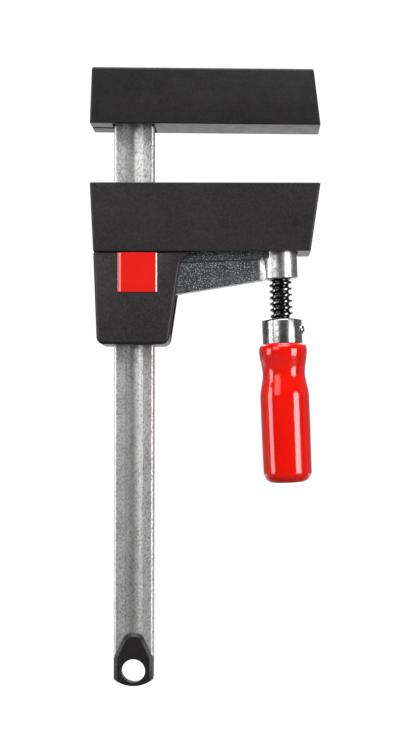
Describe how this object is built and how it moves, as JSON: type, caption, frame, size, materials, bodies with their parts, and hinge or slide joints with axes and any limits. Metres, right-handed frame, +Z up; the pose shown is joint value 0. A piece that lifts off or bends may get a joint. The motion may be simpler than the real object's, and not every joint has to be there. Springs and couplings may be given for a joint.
{
  "type": "parallel clamp",
  "caption": "Small body clamp with two parallel plastic-clad jaws on a grooved steel rail, a tilting arm with a threaded spindle, and a red wooden handle.",
  "frame": {"origin": "rail centreline in the plane of the fixed jaw's clamping face", "axes": "+Z up the rail, +X out along the jaws to their tips, -Y the front"},
  "size_m": [0.1115, 0.0284, 0.3],
  "materials": {
    "rail_steel": "satin drawn steel with fine pitting",
    "black_polyamide": "fine moulded grain",
    "channel_steel": "folded zinc-plated sheet",
    "hardened_steel": "ground",
    "arm_paint": "dark hammered paint",
    "bright_steel": "bright plated",
    "black_steel": "blackened, oiled",
    "red_plastic": "gloss",
    "red_lacquer": "turned wood under gloss lacquer"
  },
  "bodies": {
    "rail_frame": {"rail": "rail_steel", "fixed_jaw_body": "black_polyamide", "fixed_jaw_channel": "channel_steel", "fixed_jaw_rivets": "hardened_steel", "end_cap": "black_polyamide"},
    "jaw": {"movable_jaw_cover": "black_polyamide", "movable_jaw_channel": "channel_steel", "channel_rivets": "hardened_steel", "thrust_block": "hardened_steel", "guide_housing": "black_polyamide", "upper_guide_pin": "hardened_steel", "lower_guide_plate": "hardened_steel", "brake_spring": "hardened_steel", "front_badge": "red_plastic", "rear_badge": "red_plastic"},
    "rocker": {"thrust_rocker": "hardened_steel", "retaining_pin": "hardened_steel"},
    "spindle": {"spindle": "black_steel", "ferrule": "bright_steel", "handle": "red_lacquer", "handle_pin": "bright_steel"},
    "arm": {"sliding_arm": "arm_paint", "arm_boss": "bright_steel"}
  },
  "joints": [
    {"name": "jaw_slide", "type": "slide", "parent": "rail_frame", "child": "jaw", "axis": [0, 0, 1], "range_m": [-0.14, 0.0277]},
    {"name": "arm_tilt", "type": "hinge", "parent": "jaw", "child": "rocker", "pos_m": [0.0704, 0, -0.0495], "axis": [0, 1, 0], "range_deg": [0, 2.3]},
    {"name": "spindle_turn", "type": "hinge", "parent": "rocker", "child": "spindle", "pos_m": [0.0704, 0, -0.0495], "axis": [-0.0401, 0, 0.9992], "range_deg": [0, 2160.5]},
    {"name": "arm_travel", "type": "slide", "parent": "rocker", "child": "arm", "axis": [0.0401, 0, -0.9992], "range_m": [0, 0.018]}
  ],
  "couplings": [
    {"joint": "spindle_turn", "follows": "arm_travel", "rad_per_m": 2094.4}
  ]
}
